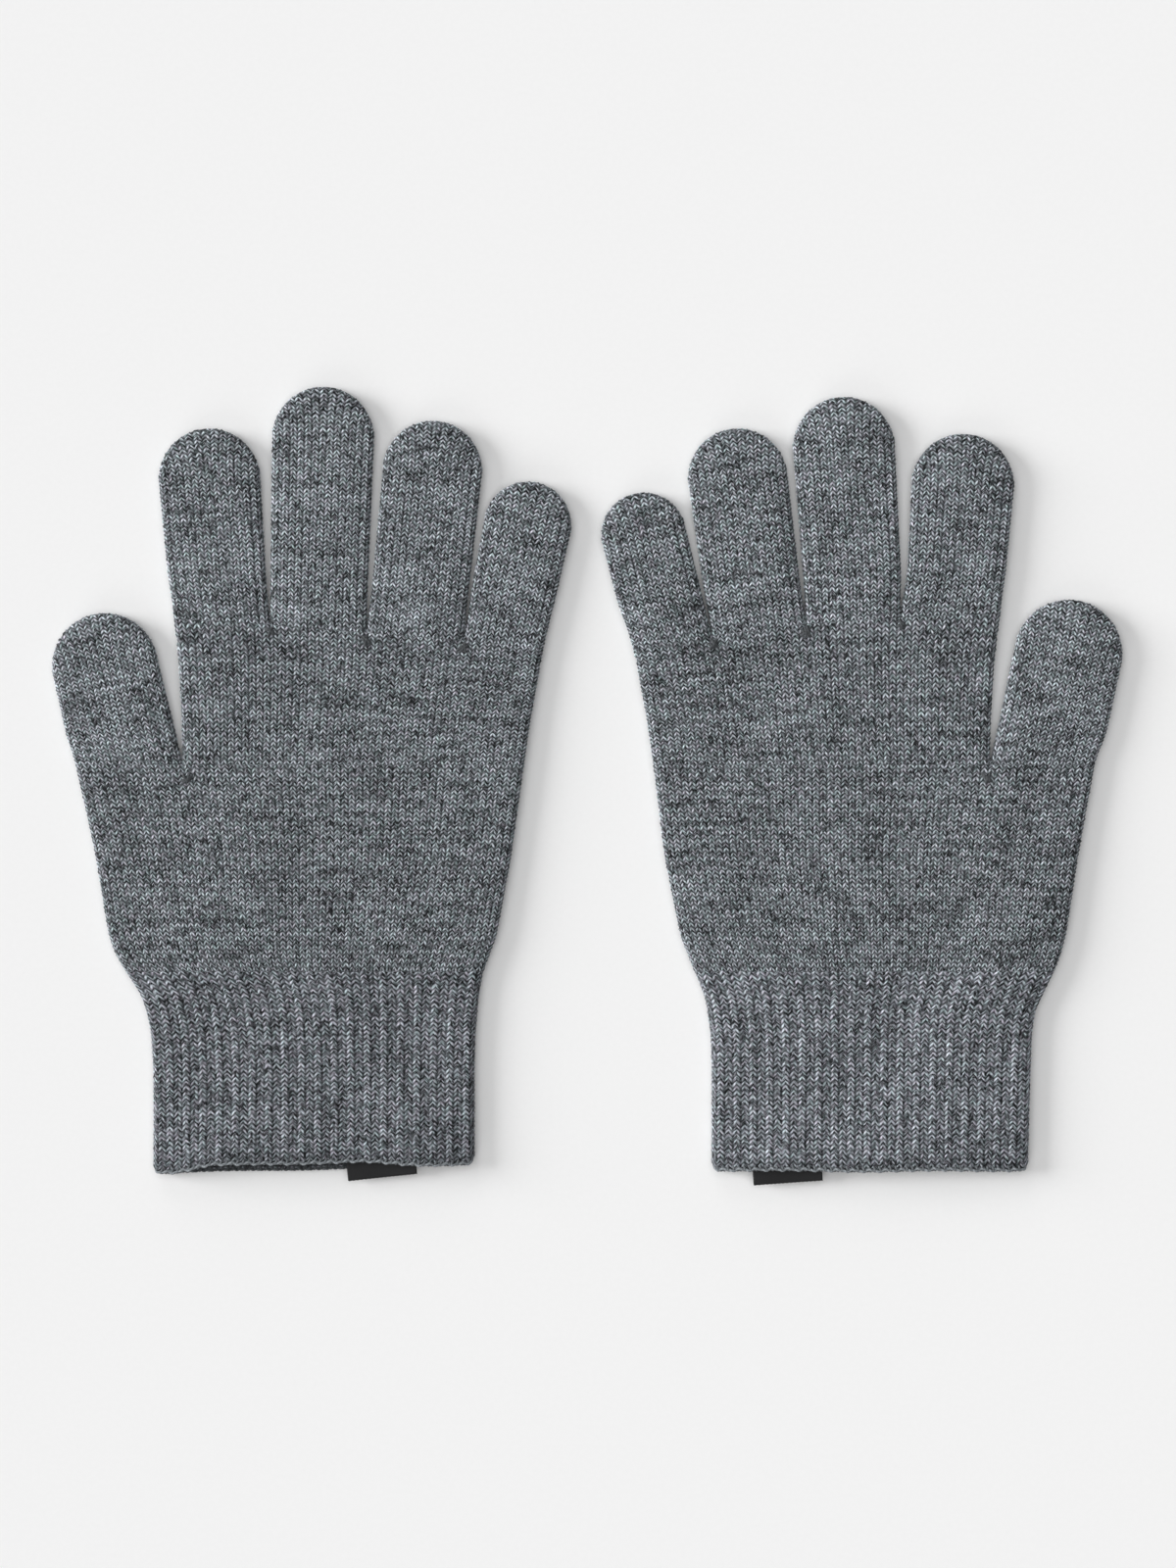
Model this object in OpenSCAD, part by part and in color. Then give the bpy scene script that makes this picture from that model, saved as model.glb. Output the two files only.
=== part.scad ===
// A pair of machine-knitted gloves lying flat, palms up, thumbs outward.
// Origin: middle of the pair's bounding box, on the surface they rest on.
// +X points to the right-hand glove, +Y to the fingertips and +Z up.
// Each glove is drawn in its own frame, with x running from the thumb to the little finger.

/* [Fabric] */
// Thickness of a glove lying flat
thick = 8; // [7.6:0.2:9]
// Thickness of the knitted fabric
wall = 1.3; // [1:0.1:1.4]
// Gap left at each fold line
fold_gap = 0.3; // [0.2:0.05:0.6]

/* [Pair] */
// Distance from the middle of the pair to the middle of each hand
hand_offset = 64; // [63:0.5:90]

/* [Palm] */
// Width across the palm at the thumb crotch
thumb_level_w = 101.6; // [98:0.2:104]
// Width across the middle of the palm
palm_w = 93.2; // [88:0.2:96]
// Width across the heel of the hand
heel_w = 87.2; // [84:0.2:90]
// Level of the thumb crotch, where the four-finger palm starts
thumb_level = 4.5; // [3:0.5:6]
// Place of the thumb crotch, which is the index-finger edge of the palm
web_x = -27.6; // [-28:0.2:-26]
// Little-finger edge of the palm at the thumb crotch
outer_edge_x = 50; // [49:0.2:52]
// Level of the knuckle line in the middle of the hand
knuckle_y = 41.3; // [40:0.1:44]
// Slope of the knuckle line down to the little finger, in degrees
knuckle_slope = 3.7; // [3:0.1:4.5]

/* [Fingers of the left-hand glove] */
// Index finger: place on the knuckle line, lean, tip width and length
left_index = [-18.8, -4.1, 23.4, 37.8]; // [-60:0.1:60]
// Middle finger: place on the knuckle line, lean, tip width and length
left_middle = [3.5, 1.7, 23.5, 48.6]; // [-60:0.1:60]
// Ring finger: place on the knuckle line, lean, tip width and length
left_ring = [25.7, 5.6, 22.9, 42.4]; // [-60:0.1:60]
// Little finger: place on the knuckle line, lean, tip width and length
left_little = [46.3, 11.1, 20.2, 30.3]; // [-60:0.1:60]
// Thumb: place on its fold line, lean, tip width and length
left_thumb_lie = [-39.9, -12.7, 24.6, 30.6]; // [-60:0.1:60]
// Sideways shift of the cuff under the palm
left_cuff_shift = 2.4; // [-3:0.2:3]
// Turn of the label in the plane, in degrees
left_label_turn = 5; // [-8:1:8]

/* [Fingers of the right-hand glove] */
// Index finger: place on the knuckle line, lean, tip width and length
right_index = [-18.6, -4, 23.6, 36.6]; // [-60:0.1:60]
// Middle finger: place on the knuckle line, lean, tip width and length
right_middle = [3.8, 3.7, 23.5, 46]; // [-60:0.1:60]
// Ring finger: place on the knuckle line, lean, tip width and length
right_ring = [26, 7.2, 22.9, 40.8]; // [-60:0.1:60]
// Little finger: place on the knuckle line, lean, tip width and length
right_little = [46.5, 14, 19.6, 28.2]; // [-60:0.1:60]
// Thumb: place on its fold line, lean, tip width and length
right_thumb_lie = [-39.6, -11.4, 24.8, 33.2]; // [-60:0.1:60]
// Sideways shift of the cuff under the palm
right_cuff_shift = 0; // [-3:0.2:3]
// Turn of the label in the plane, in degrees
right_label_turn = -4; // [-8:1:8]

/* [Cuff] */
// Width of the ribbed cuff
cuff_w = 72.4; // [70:0.2:74]
// Level of the fold line between the palm and the cuff
wrist_y = -48; // [-49:0.5:-47]
// Level of the cuff's lower edge, where the hem starts
cuff_end = -85.5; // [-87:0.5:-84]
// Height of the overlocked hem
hem_h = 1.8; // [1.4:0.1:2.4]
// How far the hem's thread stands outside the cuff
hem_proud = 0.3; // [0.1:0.1:0.4]
// Number of elastic rounds laid into the rib
elastic_rounds = 6; // [3:1:8]
// Diameter of the elastic thread
elastic_d = 0.5; // [0.3:0.1:0.7]

/* [Label] */
// Width of the folded label
label_w = 15.6; // [12:0.2:18]
// Length from the label's fold line to its folded edge
label_len = 2.5; // [2:0.1:4]
// Thickness of the label's ribbon
ribbon_t = 0.4; // [0.3:0.05:0.5]
// Sideways place of the label from the middle of the hand
label_x = 18; // [10:0.5:22]

/* [Hidden] */

yarn = "#6f7073";
thread = "#8b8d90";
rubber = "#d9d6cc";
ribbon = "#17171a";

edge_steps = 8;            // facets round each side edge of a flattened tube
tip_step = 15;             // degrees between the rings of a fingertip
half_t = thick / 2;
hinge_reach = half_t + fold_gap;   // from a fold line to the end of the next tube
four_w = [21.9, 21.9, 21.7, 18.9]; // finger widths at the knuckle line, index to little
thumb_w = 24.2;            // thumb width at its fold line
thumb_fold_y = thumb_level + hinge_reach;
heel_level = wrist_y + 14;
palm_level = thumb_level - 20.5;
spread_level = thumb_level + 23.5;
palm_spread = 3.6;         // how far the little-finger edge moves out up to that level
flare_ys = [4, 8, 13];     // distances below the wrist fold where the cuff narrows
flare_ws = [2, 0.8, 0];    // how much wider than cuff_w it is there
flare_parts = [0.8, 0.9, 1];    // part of the sideways shift reached there
wrist_w = cuff_w + 3.6;    // width at the wrist fold
wrist_part = 0.7;          // part of the sideways shift reached at the wrist fold
wrist_end_w = cuff_w + 6.4;     // width where the palm stops
start_part = 0.3;          // part of the sideways shift reached where the palm stops
darn_r = 1.3;
darn_h = 0.5;
stitch_r = 0.25;
stitch_len = 2.4;
stitch_sink = 0.1;         // how deep a stitch is pressed into the cuff's inside
stitch_count = 7;
stitch_start = cuff_end + 1;        // clear of the hem all along the turned label
label_fold_y = cuff_end - hem_h + 1;
label_z = wall + 0.5 + fold_gap;    // underside of the label, clear of the hem's inside

// Level of the knuckle line at place x across the hand
function knuckle_at(x) = knuckle_y - x * tan(knuckle_slope);

// Half of the chord of a circle of radius r, at distance d from its middle
function half_chord(r, d) = sqrt(max(0, r * r - d * d));

// Outline of a flattened tube of width w and thickness t, centred on its own middle
function stadium(w, t) = [
    for (side = [1, -1], i = [0 : edge_steps])
        let (a = -90 + 180 * i / edge_steps)
        side * [w / 2 - t / 2 + t / 2 * cos(a), t / 2 * sin(a)]
];

// One ring of a tube: middle c, width w, thickness t, turned by angle a in the plane.
// way is the direction, 1 or -1 along Y, in which the ring is rounded about its fold line.
function ring(c, w, t, a, way = 0) = [
    for (p = stadium(w, t))
        let (bulge = way * half_chord(half_t, p[1]))
        [c[0] + p[0] * cos(a) - bulge * sin(a), c[1] + p[0] * sin(a) + bulge * cos(a), half_t + p[1]]
];

// Faces between ring number r and the next one, n points each
function band(n, r, out) = [
    for (i = [0 : n - 1])
        let (a = r * n + i, b = r * n + (i + 1) % n, c = b + n, d = a + n)
        each out ? [[a, b, c], [a, c, d]] : [[c, b, a], [d, c, a]]
];

// Faces of the rim between the outer ring r and the inner ring s
function rim(n, r, s, out) = [
    for (i = [0 : n - 1])
        let (a = r * n + i, b = r * n + (i + 1) % n, c = s * n + (i + 1) % n, d = s * n + i)
        each out ? [[a, b, c], [a, c, d]] : [[c, b, a], [d, c, a]]
];

// Faces that close the tube at ring r
function cap(n, r, out) = [[for (i = [0 : n - 1]) r * n + (out ? i : n - 1 - i)]];

// A fabric shell between two lists of rings, open at the first ring
module fabric(outer, inner, closed) {
    n = len(outer[0]);
    m = len(outer);
    k = len(inner);
    last = m + k - 1;
    faces = concat(
        [for (r = [0 : m - 2]) each band(n, r, false)],
        [for (r = [m : last - 1]) each band(n, r, true)],
        rim(n, 0, m, true),
        closed ? concat(cap(n, m - 1, false), cap(n, last, true)) : rim(n, m - 1, last, false)
    );
    polyhedron(points = [for (r = concat(outer, inner)) each r], faces = faces, convexity = 6);
}

// Rings of a fingertip-shaped tube: lie is [place, lean, tip width, length], inset by the wall
function finger_rings(lie, base_y, base_w, base_a, inset) =
    let (
        lean = -lie[1],
        tip_r = lie[2] / 2 - inset,
        half = half_t - inset,
        straight = lie[3] - lie[2] / 2,
        root = [lie[0], base_y],
        along = [sin(lie[1]), cos(lie[1])]
    )
    concat(
        [ring(root, base_w - 2 * inset, 2 * half, base_a, -1)],
        [for (a = [90 : -tip_step : tip_step])
            let (
                from_tip = tip_r * (1 - cos(a)),
                w = 2 * half_chord(tip_r, tip_r - from_tip),
                t = from_tip < half ? 2 * half_chord(half, half - from_tip) : 2 * half
            )
            ring(root + along * (straight + tip_r - from_tip), w, t, lean)]
    );

module finger(lie, base_y, base_w, base_a) {
    color(yarn)
        fabric(
            finger_rings(lie, base_y, base_w, base_a, 0),
            finger_rings(lie, base_y, base_w, base_a, wall),
            true
        );
}

// One of the four fingers, folding on the knuckle line
module knuckle_finger(lie, number) {
    finger(lie, knuckle_at(lie[0]), four_w[number], -knuckle_slope);
}

module thumb(lie) {
    finger(lie, thumb_fold_y, thumb_w, 0);
}

// Ring of the palm between two edges at level y, sloped by angle a
function palm_ring(left_x, right_x, y, a, inset) =
    ring([(left_x + right_x) / 2, y], (right_x - left_x) / cos(a) - 2 * inset, thick - 2 * inset, a);

function four_finger_rings(lies, inset) =
    let (
        top_left = lies[0][0] - four_w[0] / 2 + 0.1,
        top_right = lies[3][0] + four_w[3] / 2 - 0.3,
        top_y = knuckle_at((top_left + top_right) / 2) - hinge_reach / cos(knuckle_slope)
    )
    [
        palm_ring(web_x, outer_edge_x, thumb_level, 0, inset),
        palm_ring(web_x - 0.5, outer_edge_x + palm_spread, spread_level, 0, inset),
        palm_ring(top_left, top_right, top_y, -knuckle_slope, inset)
    ];

module four_finger_palm(lies) {
    color(yarn)
        fabric(four_finger_rings(lies, 0), four_finger_rings(lies, wall), false);
}

function five_finger_rings(shift, inset) = [
    palm_ring(shift * start_part - wrist_end_w / 2, shift * start_part + wrist_end_w / 2,
        wrist_y + hinge_reach, 0, inset),
    palm_ring(-heel_w / 2, heel_w / 2, heel_level, 0, inset),
    palm_ring(-palm_w / 2, palm_w / 2, palm_level, 0, inset),
    palm_ring(outer_edge_x - thumb_level_w, outer_edge_x, thumb_level, 0, inset)
];

module five_finger_palm(shift) {
    color(yarn)
        fabric(five_finger_rings(shift, 0), five_finger_rings(shift, wall), false);
}

// Small darned spots on the palm side where the crotches are closed
module crotch_darns(lies) {
    crotches = [for (i = [0 : 2])
        let (x = (lies[i][0] + four_w[i] / 2 + lies[i + 1][0] - four_w[i + 1] / 2) / 2)
        [x, knuckle_at(x) - hinge_reach - 1 - 2 * darn_r]];
    color(thread)
        for (p = concat([[web_x + 0.5, thumb_level - 2.4]], crotches))
            translate([p[0], p[1], thick])
                cylinder(h = darn_h, r = darn_r, $fn = 24);
}

function cuff_rings(shift, inset) = concat(
    [ring([shift * wrist_part, wrist_y], wrist_w - 2 * inset, thick - 2 * inset, 0, 1)],
    [for (i = [0 : len(flare_ys) - 1])
        ring([shift * flare_parts[i], wrist_y - flare_ys[i]],
            cuff_w + flare_ws[i] - 2 * inset, thick - 2 * inset, 0)],
    [ring([shift, cuff_end], cuff_w - 2 * inset, thick - 2 * inset, 0)]
);

module cuff(shift) {
    color(yarn)
        fabric(cuff_rings(shift, 0), cuff_rings(shift, wall), false);
}

// One round of elastic laid into the fabric, at level y
module elastic_round(y) {
    bend_r = half_t - wall / 2;
    run = cuff_w - thick;
    for (side = [0, 180])
        translate([0, y, half_t])
            rotate([0, side, 0]) {
                translate([run / 2, 0, 0])
                    rotate([-90, -90, 0])
                        rotate_extrude(angle = 180, $fn = 48)
                            translate([bend_r, 0])
                                circle(r = elastic_d / 2, $fn = 16);
                translate([-run / 2, 0, bend_r])
                    rotate([0, 90, 0])
                        cylinder(h = run, r = elastic_d / 2, $fn = 16);
            }
}

module cuff_elastic(shift) {
    first = wrist_y - flare_ys[2] - 1;
    gap = (first - cuff_end - 2) / (elastic_rounds - 1);
    color(rubber)
        translate([shift, 0, 0])
            for (i = [0 : elastic_rounds - 1])
                elastic_round(first - i * gap);
}

module stadium_face(w, t) {
    square([w - t, t], center = true);
    for (side = [-1, 1])
        translate([side * (w - t) / 2, 0])
            circle(d = t, $fn = 48);
}

// Overlocked edge round the mouth of the cuff
module cuff_hem(shift) {
    hem_t = thick + 2 * hem_proud;
    inside = 2 * (wall + 0.5);
    color(thread)
        translate([shift, cuff_end, hem_t / 2])
            rotate([90, 0, 0])
                linear_extrude(hem_h)
                    difference() {
                        stadium_face(cuff_w + 2 * hem_proud, hem_t);
                        stadium_face(cuff_w + 2 * hem_proud - inside, hem_t - inside);
                    }
}

// Folded ribbon label, its fold at the free edge
module label(turn) {
    fold_r = 1.5 * ribbon_t;
    color(ribbon)
        translate([label_x, label_fold_y, label_z + fold_r])
            rotate([0, 0, turn])
                rotate([90, 0, -90])
                    linear_extrude(label_w, center = true)
                        difference() {
                            union() {
                                translate([0, -fold_r])
                                    square([label_len - fold_r, 2 * fold_r]);
                                translate([label_len - fold_r, 0])
                                    circle(r = fold_r, $fn = 24);
                            }
                            translate([-1, ribbon_t - fold_r])
                                square([label_len + 1 - fold_r, ribbon_t]);
                            translate([label_len - fold_r, 0])
                                circle(r = fold_r - ribbon_t, $fn = 24);
                        }
}

// Row of stitches that sews the ends of the label to the inside of the cuff
module label_stitches(turn) {
    pitch = (label_w - 2) / (stitch_count - 1);
    color(thread)
        for (i = [0 : stitch_count - 1]) {
            x = (i - (stitch_count - 1) / 2) * pitch;
            translate([label_x + x, stitch_start + x * tan(turn), wall + stitch_r - stitch_sink])
                rotate([-90, 0, 0])
                    cylinder(h = stitch_len, r = stitch_r, $fn = 16);
        }
}

module left() {
    translate([-hand_offset, 0, 0])
        children();
}

module right() {
    translate([hand_offset, 0, 0])
        mirror([1, 0, 0])
            children();
}

left_lies = [left_index, left_middle, left_ring, left_little];
right_lies = [right_index, right_middle, right_ring, right_little];

left() four_finger_palm(left_lies);  // left_four_finger_palm
left() five_finger_palm(left_cuff_shift);  // left_five_finger_palm
left() thumb(left_thumb_lie);  // left_thumb
left() knuckle_finger(left_index, 0);  // left_index_finger
left() knuckle_finger(left_middle, 1);  // left_middle_finger
left() knuckle_finger(left_ring, 2);  // left_ring_finger
left() knuckle_finger(left_little, 3);  // left_little_finger
left() crotch_darns(left_lies);  // left_crotch_darns
left() cuff(left_cuff_shift);  // left_cuff
left() cuff_elastic(left_cuff_shift);  // left_cuff_elastic
left() cuff_hem(left_cuff_shift);  // left_cuff_hem
left() label_stitches(left_label_turn);  // left_label_stitches
left() label(left_label_turn);  // left_label
right() four_finger_palm(right_lies);  // right_four_finger_palm
right() five_finger_palm(right_cuff_shift);  // right_five_finger_palm
right() thumb(right_thumb_lie);  // right_thumb
right() knuckle_finger(right_index, 0);  // right_index_finger
right() knuckle_finger(right_middle, 1);  // right_middle_finger
right() knuckle_finger(right_ring, 2);  // right_ring_finger
right() knuckle_finger(right_little, 3);  // right_little_finger
right() crotch_darns(right_lies);  // right_crotch_darns
right() cuff(right_cuff_shift);  // right_cuff
right() cuff_elastic(right_cuff_shift);  // right_cuff_elastic
right() cuff_hem(right_cuff_shift);  // right_cuff_hem
right() label_stitches(right_label_turn);  // right_label_stitches
right() label(right_label_turn);  // right_label
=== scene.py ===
import math

import bpy
import numpy as np
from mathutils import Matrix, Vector

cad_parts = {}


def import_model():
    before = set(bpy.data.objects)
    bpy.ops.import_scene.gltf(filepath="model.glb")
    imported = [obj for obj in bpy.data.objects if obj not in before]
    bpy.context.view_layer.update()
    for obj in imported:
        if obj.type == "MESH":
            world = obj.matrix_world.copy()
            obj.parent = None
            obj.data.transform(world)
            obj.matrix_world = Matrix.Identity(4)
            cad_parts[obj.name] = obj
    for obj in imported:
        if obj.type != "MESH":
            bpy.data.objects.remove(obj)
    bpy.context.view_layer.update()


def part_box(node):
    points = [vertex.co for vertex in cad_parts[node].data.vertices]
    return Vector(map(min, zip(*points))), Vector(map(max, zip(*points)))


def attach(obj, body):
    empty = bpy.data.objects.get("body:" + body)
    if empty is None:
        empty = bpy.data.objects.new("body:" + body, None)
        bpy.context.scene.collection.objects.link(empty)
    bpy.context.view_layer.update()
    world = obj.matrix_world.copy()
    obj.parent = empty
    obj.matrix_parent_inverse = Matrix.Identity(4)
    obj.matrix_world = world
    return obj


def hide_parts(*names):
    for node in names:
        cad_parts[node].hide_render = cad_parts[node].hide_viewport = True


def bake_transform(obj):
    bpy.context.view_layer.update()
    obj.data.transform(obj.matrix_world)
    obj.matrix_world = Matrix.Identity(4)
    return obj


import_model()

MM = 0.001
HALF_PI = math.pi / 2

# ---------------------------------------------------------------- cross-section of the flat gloves, in mm
RIM = 1.4            # radius of the rounded side edges
EDGE_EXTRA = (HALF_PI - 1) * RIM  # fabric that a rounded edge takes beyond its width in plan
WALL = 0.9           # thickness of the knitted fabric
LIFT = 0.45          # raises the drawn lower face, so that the stitches under it clear the floor
RISE = 0.35          # how much higher the middle is than the edges
RISE_RUN = 9.0       # distance from the edge over which it rises
FOLD_DEPTH = 0.38    # pressed crease just inside the fingers' edges: its depth,
FOLD_IN = 1.9        # its distance from the edge,
FOLD_WIDTH = 0.42    # its width
FOLD_FROM = 34.0     # and the level above which it runs, full depth FOLD_RUN higher
FOLD_RUN = 6.0
MOUTH_RISE = 1.5     # how much higher the upper layer stands at the cuff's mouth
MOUTH_FROM = -66.0   # level below which it rises to that, over MOUTH_RUN
MOUTH_RUN = 18.0
MOUTH_SIDE = 20.0    # distance from the side edges over which it does
WAVES = (0.42, 0.18, 0.1)  # heights of the slow waves in the upper layer
WAVE_EDGE = 6.0      # distance from the edge over which waves and bulges grow

# ---------------------------------------------------------------- knitting gauge, in mm
WALE = 1.58          # width of one stitch column
COURSE = 0.98        # height of one row of stitches
LEAN = 1.75          # courses that a stitch's leg climbs per wale
RELIEF = 0.42        # height of the stitches
TIP_FAN = 0.35       # how much the stitch columns fan out at a fingertip
PALM_WALES = {"four_finger_palm": 50, "five_finger_palm": 61}  # on one layer
PALM_COURSES = {"four_finger_palm": 31, "five_finger_palm": 47}
THUMB_WALES = 17
JOIN_COURSE = 27     # sunken course on the palm where the fingers were knitted together
JOIN_DEPTH = 0.5     # in parts of RELIEF
CUFF_RIBS = 20       # on one layer; a rib is two wales, one raised and one sunk
CUFF_COURSES = 41
RIB_PITCH = 3.75
RIB_RELIEF = 0.5
STEPS = 4            # sub-columns of the mesh per wale
PIECE_SEEDS = {"index_finger": 42, "middle_finger": 44, "ring_finger": 43, "little_finger": 46,
               "thumb": 39, "four_finger_palm": 47, "five_finger_palm": 63, "cuff": 45}

# ---------------------------------------------------------------- the two gloves, in mm
# x runs from the thumb to the little finger and y from the cuff to the fingertips. Edges are
# (level, place) pairs; fingers are (place on the knuckle line, lean, tip width, length); bulges are
# (place, level, half width, half length, height). Tones are parts of YARN_TONE.
KNUCKLE_Y = 41.3
KNUCKLE_SLOPE = math.radians(3.7)
FINGER_BASE_W = {"index_finger": 21.9, "middle_finger": 21.9, "ring_finger": 21.7,
                 "little_finger": 18.9, "thumb": 24.2}
BASE_IN = 0.05       # how much the fingers' roots are narrower than that, on either side
TIP_IN = 0.3         # the same for the tips
TIP_OUT = 0.5        # how much the tips reach further out
ROOT_RUN = 7.0       # length over which a finger leaves the palm's outline
THUMB_LEVEL = 4.5
THUMB_FOLD_Y = 8.8
PALM_END = -42.0
SEAM_LAP = 0.25      # how far one knitted piece runs under the next
CORNER = 3.0         # radius of the cuff's lower corners
HEM_WAVE = 0.12      # height of the hem's slight waves
GLOVES = {
    "left": {
        "sign": 1, "offset": -64, "seed": 11, "wave_turn": 0.7,
        "outer": [(36, 54.9), (28, 53.6), (15, 51.2), (4.5, 49.7), (-16, 46.8), (-34, 43.5),
                  (-42, 40.5), (-48, 39.5), (-56, 38.8), (-64, 38.6), (-86, 38.6)],
        "inner": [(4.5, -51.3), (-7, -48.7), (-16, -46.8), (-33, -44.0), (-38, -42.4),
                  (-42, -40.0), (-47, -36.7), (-51, -35.3), (-56, -34.3), (-64, -33.8), (-86, -33.8)],
        "web": [(37, -29.1), (28, -28.1), (15, -27.4), (4.5, -27.2)],
        "crotches": [(-29.1, 37.4), (-7.6, 36.0), (14.2, 34.2), (36.0, 32.4), (54.6, 30.6)],
        "thumb_crotch": (-27.2, 4.5),
        "fingers": {
            "index_finger": (-19.1, -4.5, 23.4, 37.8),
            "middle_finger": (3.4, 1.6, 23.5, 48.6),
            "ring_finger": (25.9, 5.8, 22.9, 42.5),
            "little_finger": (46.3, 11.8, 20.2, 30.4),
            "thumb": (-40.5, -13.2, 24.3, 30.3),
        },
        "bulges": [(-13, -18, 13, 18, 1.5), (-34, -20, 6, 16, -0.35)],
        "cuff_end": -86.1, "hem_tilt": 0.8 / 36, "hem_low": 0.05, "hem_rise": 0.5, "front_arch": 1.6,
        "label_turn": 6, "label_out": 2.6, "label_shift": -0.5,
        "tones": {"thumb": 1.1, "index_finger": 1.1, "middle_finger": 1.12, "ring_finger": 1.08,
                  "little_finger": 1.08, "four_finger_palm": 1.0, "five_finger_palm": 0.98, "cuff": 0.93},
    },
    "right": {
        "sign": -1, "offset": 64, "seed": 23, "wave_turn": 2.1,
        "outer": [(36, 55.0), (28, 53.0), (15, 50.6), (4.5, 49.1), (-16, 46.6), (-34, 43.0),
                  (-42, 39.8), (-48, 37.4), (-56, 36.2), (-64, 36.0), (-86, 36.0)],
        "inner": [(4.5, -50.3), (-7, -48.2), (-16, -46.6), (-33, -44.0), (-38, -42.7),
                  (-42, -41.2), (-47, -38.7), (-51, -36.9), (-56, -36.2), (-64, -35.9), (-86, -35.3)],
        "web": [(38, -29.0), (28, -27.7), (15, -26.9), (4.5, -26.7)],
        "crotches": [(-29.0, 38.6), (-6.6, 37.7), (14.7, 36.2), (35.9, 33.5), (55.0, 32.0)],
        "thumb_crotch": (-26.7, 4.5),
        "fingers": {
            "index_finger": (-18.8, -4.2, 23.6, 36.6),
            "middle_finger": (3.9, 3.7, 23.5, 46.4),
            "ring_finger": (26.2, 7.5, 22.9, 40.9),
            "little_finger": (46.7, 14.2, 19.6, 28.1),
            "thumb": (-40.0, -12.1, 24.8, 33.3),
        },
        "bulges": [(-28, -21, 11, 15, 1.1), (8, -20, 12, 20, 0.5)],
        "cuff_end": -86.25, "hem_tilt": 0.0, "hem_low": 0.0, "hem_rise": 0.0, "front_arch": 0.0,
        "label_turn": -4, "label_out": 3.7, "label_shift": -1.1,
        "tones": {"thumb": 1.08, "index_finger": 1.06, "middle_finger": 1.1, "ring_finger": 1.06,
                  "little_finger": 1.06, "four_finger_palm": 1.0, "five_finger_palm": 0.99, "cuff": 1.05},
    },
}
FOUR = ("index_finger", "middle_finger", "ring_finger", "little_finger")

# ---------------------------------------------------------------- threads and label, in mm
HEM_THREAD = 0.27    # radius
HEM_TURNS = 3        # turns of the wound thread per rib
ELASTIC = 0.2        # radius
ELASTIC_ROUNDS = 6
ELASTIC_SPAN = (3, 24)  # height of the first and the last round above the hem
ELASTIC_IN = 0.16    # depth below the middle of the fabric
DARN_YARN = 0.3
DARN_TURNS = 4
STITCH_THREAD = 0.16
LABEL_STITCHES = 7
LABEL_WIDTH = 15.6
LABEL_SEWN = 2.2     # length that lies inside the hem
LABEL_THICK = 0.34
LABEL_GAP = 0.3      # between its two layers
LABEL_LEVEL = 2.35
LABEL_FRAY = 0.05

# ---------------------------------------------------------------- yarn colours
YARN_TONE = 0.1535
STITCH_PAINTED_SHADE_HIGHLIGHT = (0.16, 2.75)  # painted shade in the gaps between the legs, and painted highlight on the legs, in parts of the tone
RIB_PAINTED_SHADE_HIGHLIGHT = (0.2, 2.9)       # the same on the cuff
GROOVE_PAINTED_SHADE = (0.93, 1.04)  # painted shade on the sunk wales of the cuff, and the raised wales' tone
LOW_COURSES = (0.62, 1.0)    # the cuff's last courses, darkened towards the hem
FLECKS = 3.4                 # specks of fibre per wale and per course
REDS = (0.8, 1.01)
GREENS = {"plain": (0.95, 1.033), "rib": (0.935, 1.015)}
BLUES = (1.03, 1.12)
# how far each pattern moves the tone: from leg to leg, specks, streaks in single courses,
# bands of courses, broad patches, fine grain and fibres
SWINGS = {"plain": {"leg": 0.6, "fleck": 1.9, "streak": 1.5, "band": 0.5, "patch": 0.5, "fine": 0.5,
                    "fibre": 2.2},
          "rib": {"leg": 0.5, "fleck": 1.9, "streak": 0.6, "band": 0.3, "patch": 0.5, "fine": 0.5,
                  "fibre": 2.2}}
LEG_HIGHLIGHT_PARTS = {"plain": 0.58, "rib": 0.4}  # how much of a stitch's painted shading is the painted highlight on its legs
THREADS = {                               # tone, tint and contrast
    "hem_thread": (0.3, (0.92, 1.0, 1.07), 0.8),
    "elastic_thread": (0.6, (1.03, 1, 0.93), 0.5),
    "darn_yarn": (0.1, (0.92, 1.0, 1.07), 0.8),
    "label_thread": (0.02, (1, 1, 1.05), 0.5),
}
BLACK_RIBBON = (0.005, 0.014)

# ---------------------------------------------------------------- studio
AMBIENT = 0.133
LAMPS = {                 # strength, spread, azimuth and elevation in degrees
    "overhead": (1.35, 70.0, 160.0, 86.0),
    "key": (3.2, 30.0, 170.0, 18.5),
    "upper fill": (0.36, 30.0, 110.0, 24.0),
    "lower fill": (0.5, 30.0, 240.0, 22.0),
}
PAPER = (0.895, 0.905)
FLOOR_HALF = 4.0          # metres
FLOOR_STEPS = 8
LENS = 100
SENSOR = 36
FRAME_HEIGHT = 0.352      # metres of the scene from the image's top to its bottom
FRAME_LEVEL = 0.006       # level at which they are measured
CAMERA_PLACE = (0.00015, 0.0003)


# ---------------------------------------------------------------- places on the flat gloves
def smooth(t):
    t = np.clip(t, 0, 1)
    return t * t * (3 - 2 * t)


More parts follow.
